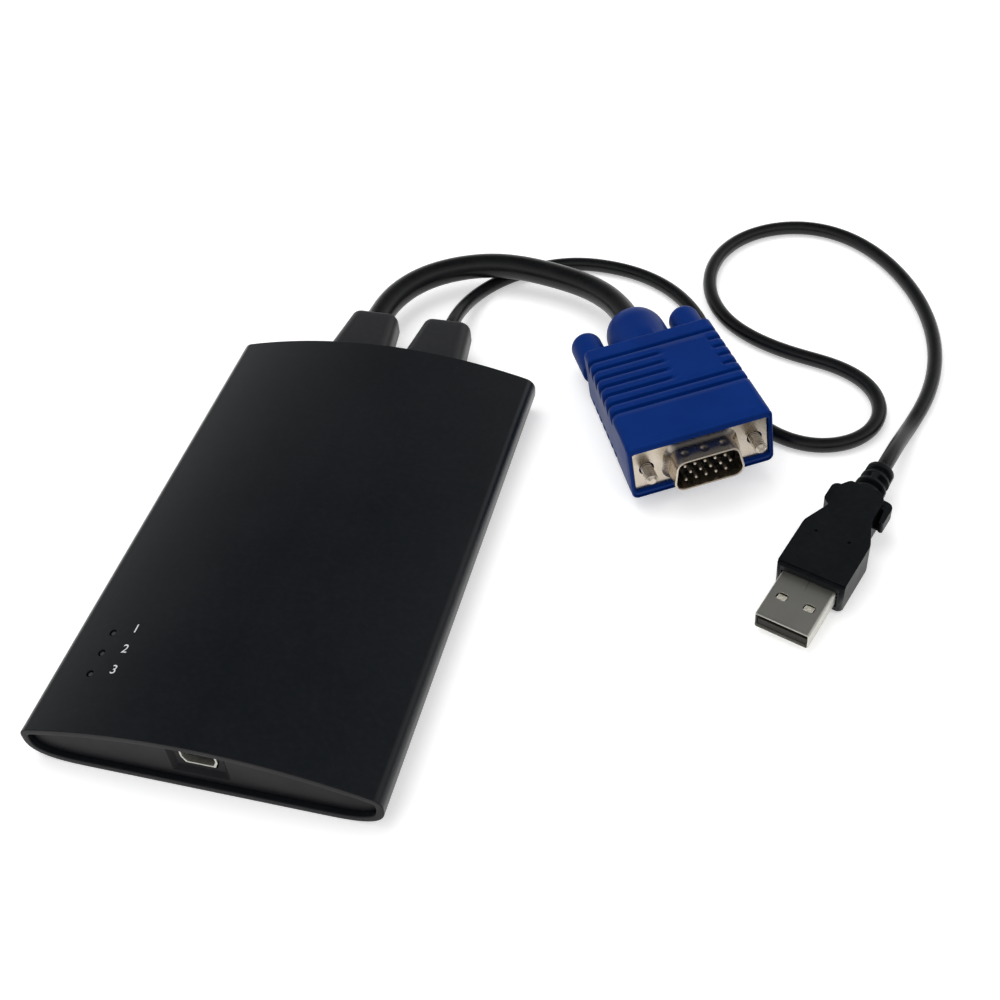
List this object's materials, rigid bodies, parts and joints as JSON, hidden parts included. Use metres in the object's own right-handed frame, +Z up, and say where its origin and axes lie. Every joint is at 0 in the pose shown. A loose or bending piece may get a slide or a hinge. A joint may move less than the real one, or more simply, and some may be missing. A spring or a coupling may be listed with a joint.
{
  "type": "crash cart adapter",
  "caption": "Flat crash cart adapter: crowned black case with a mini port in front and leads at the rear that end in a blue video plug with thumbscrews and a flat bus plug.",
  "frame": {"origin": "middle of the case's flat bottom", "axes": "+Z up, -Y towards the mini port's end plate, +Y towards the leads, +X to the right seen from the port"},
  "size_m": [0.1684, 0.2007, 0.0205],
  "materials": {
    "sleeve_black": "matt with a fine grain",
    "black_plastic": "matt",
    "black_vinyl": "satin",
    "cord_vinyl": "satin",
    "blue_vinyl": "satin",
    "nickel": "nickel plate",
    "tinplate": "bright plate",
    "gold_plate": "plated",
    "board_green": "solder mask",
    "chip_black": "matt",
    "header_white": "satin",
    "light_guide": "clear",
    "screw_steel": "plain"
  },
  "bodies": {
    "adapter": {"bus_boot": "black_vinyl", "bus_contact_1": "gold_plate", "bus_contact_2": "gold_plate", "bus_contact_3": "gold_plate", "bus_contact_4": "gold_plate", "bus_controller_chip": "chip_black", "bus_cord": "cord_vinyl", "bus_lead_harness": "cord_vinyl", "bus_lead_header": "header_white", "bus_plug_grip": "black_vinyl", "bus_plug_shell": "tinplate", "bus_plug_tongue": "chip_black", "case_sleeve": "sleeve_black", "clock_crystal": "tinplate", "controller_chip": "chip_black", "front_end_plate": "black_plastic", "left_end_screw": "screw_steel", "light_guide": "light_guide", "main_board": "board_green", "memory_chip": "chip_black", "mini_port_insert": "chip_black", "mini_port_shell": "tinplate", "rear_end_plate": "black_plastic", "right_end_screw": "screw_steel", "status_led_1": "header_white", "status_led_2": "header_white", "status_led_3": "header_white", "video_boot": "black_vinyl", "video_converter_chip": "chip_black", "video_cord": "cord_vinyl", "video_lead_harness": "cord_vinyl", "video_lead_header": "header_white", "video_pin_01": "gold_plate", "video_pin_02": "gold_plate", "video_pin_03": "gold_plate", "video_pin_04": "gold_plate", "video_pin_05": "gold_plate", "video_pin_06": "gold_plate", "video_pin_07": "gold_plate", "video_pin_08": "gold_plate", "video_pin_09": "gold_plate", "video_pin_10": "gold_plate", "video_pin_11": "gold_plate", "video_pin_12": "gold_plate", "video_pin_13": "gold_plate", "video_pin_14": "gold_plate", "video_pin_15": "gold_plate", "video_plug_hood": "blue_vinyl", "video_plug_insulator": "chip_black", "video_plug_shell": "nickel", "voltage_regulator": "chip_black"},
    "left_thumbscrew": {"left_thumbscrew": "blue_vinyl"},
    "right_thumbscrew": {"right_thumbscrew": "blue_vinyl"}
  },
  "joints": [
    {"name": "left_thumbscrew_spin", "type": "hinge", "parent": "adapter", "child": "left_thumbscrew", "pos_m": [0.06909, 0.03307, 0.0109], "axis": [-0.4775, 0.8758, -0.0698], "continuous": true},
    {"name": "right_thumbscrew_spin", "type": "hinge", "parent": "adapter", "child": "right_thumbscrew", "pos_m": [0.09091, 0.04513, 0.0129], "axis": [-0.4775, 0.8758, -0.0698], "continuous": true}
  ]
}
